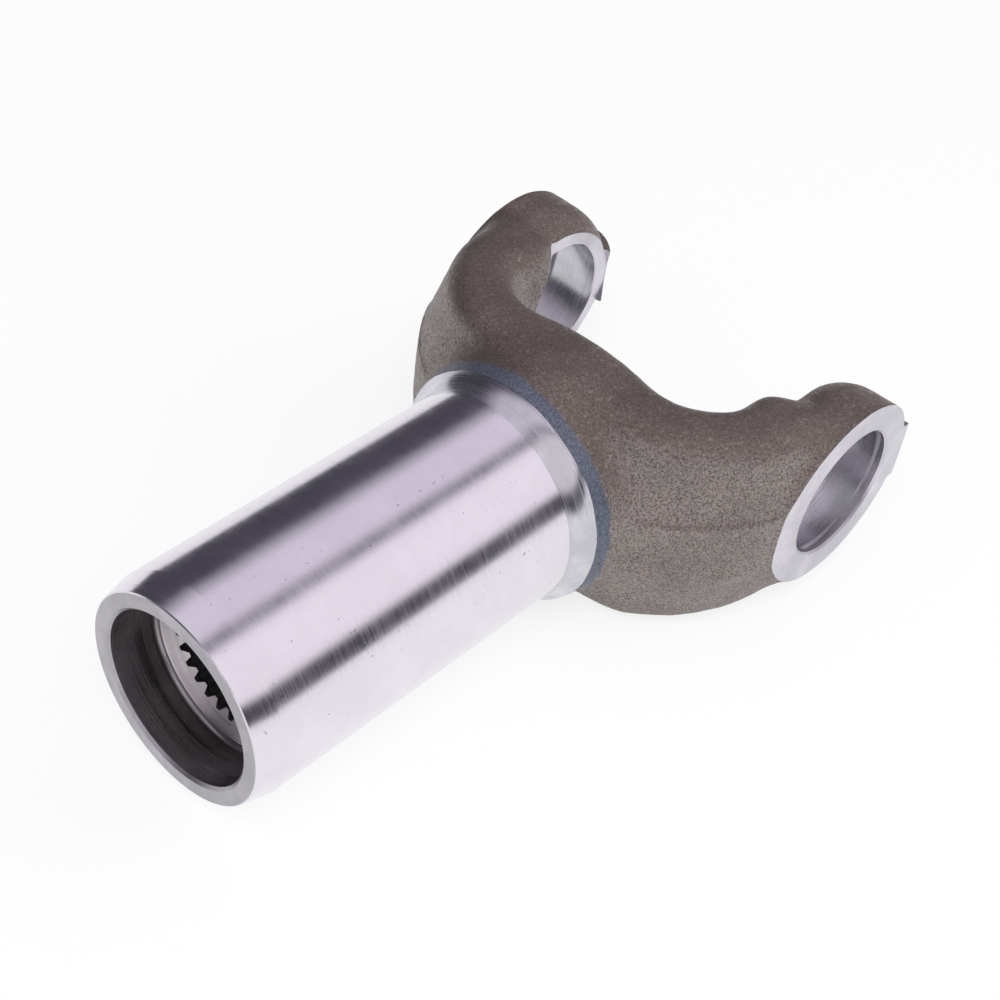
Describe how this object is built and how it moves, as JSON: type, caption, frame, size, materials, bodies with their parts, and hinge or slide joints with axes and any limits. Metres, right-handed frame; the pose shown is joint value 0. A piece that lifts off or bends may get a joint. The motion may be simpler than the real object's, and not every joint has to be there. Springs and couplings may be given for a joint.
{
  "type": "driveshaft slip yoke",
  "caption": "Forged steel slip yoke: a ground barrel with a splined bore, a turned collar and a forked end whose two ears carry one cross bore for a universal joint.",
  "frame": {"origin": "centre of the universal joint, where the barrel's axis meets the cross bore's axis", "axes": "+X along the barrel's axis, from its open mouth towards the ears; +Y along the cross bore; +Z square to the forging's parting plane"},
  "size_m": [0.1634, 0.0974, 0.054],
  "materials": {
    "forged_steel": "brown forged skin on the arms, ears and hub; ground and turned bright steel on the barrel, collar, bores and ear faces"
  },
  "bodies": {
    "root": {"yoke": "forged_steel"}
  },
  "joints": []
}
